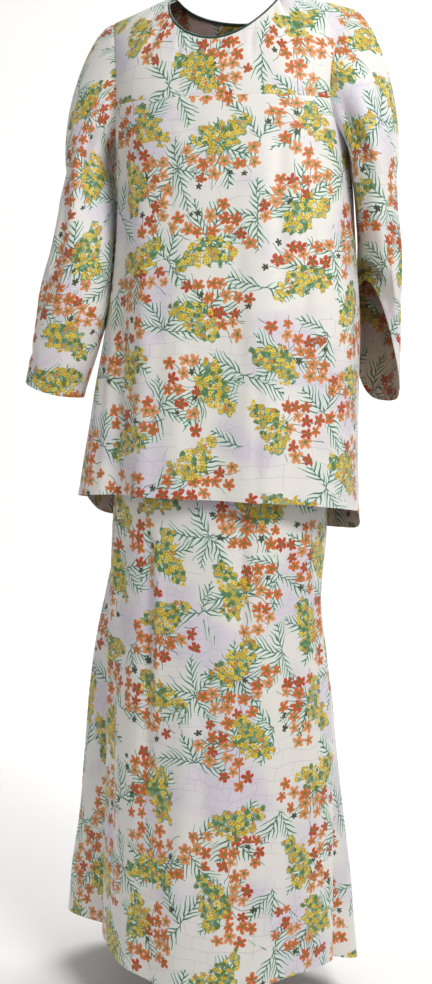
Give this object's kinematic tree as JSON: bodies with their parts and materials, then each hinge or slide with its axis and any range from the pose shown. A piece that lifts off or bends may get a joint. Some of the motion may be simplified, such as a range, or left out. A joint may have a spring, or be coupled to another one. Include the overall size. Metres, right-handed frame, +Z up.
{
  "type": "baju kurung, a loose tunic and a long skirt",
  "caption": "Loose round-necked tunic with a chest yoke and long sleeves, over a long flared skirt, in the hollow form it has when worn.",
  "frame": {"origin": "midway between the two points where the shoulder seams meet the neckline, where the wearer's shoulders hold the tunic up", "axes": "+Z up, -Y the way the wearer faces, +X toward the wearer's left"},
  "size_m": [0.5642, 0.379, 1.4853],
  "materials": {
    "printed_cloth": "smooth crepe, ivory with a floral print",
    "neck_binding": "narrow dark green rolled binding"
  },
  "bodies": {
    "root": {"tunic_yoke": "printed_cloth", "tunic_front": "printed_cloth", "tunic_back": "printed_cloth", "sleeve_right": "printed_cloth", "sleeve_left": "printed_cloth", "neck_binding": "neck_binding", "skirt_front": "printed_cloth", "skirt_back": "printed_cloth", "skirt_waistband": "printed_cloth"}
  },
  "joints": []
}
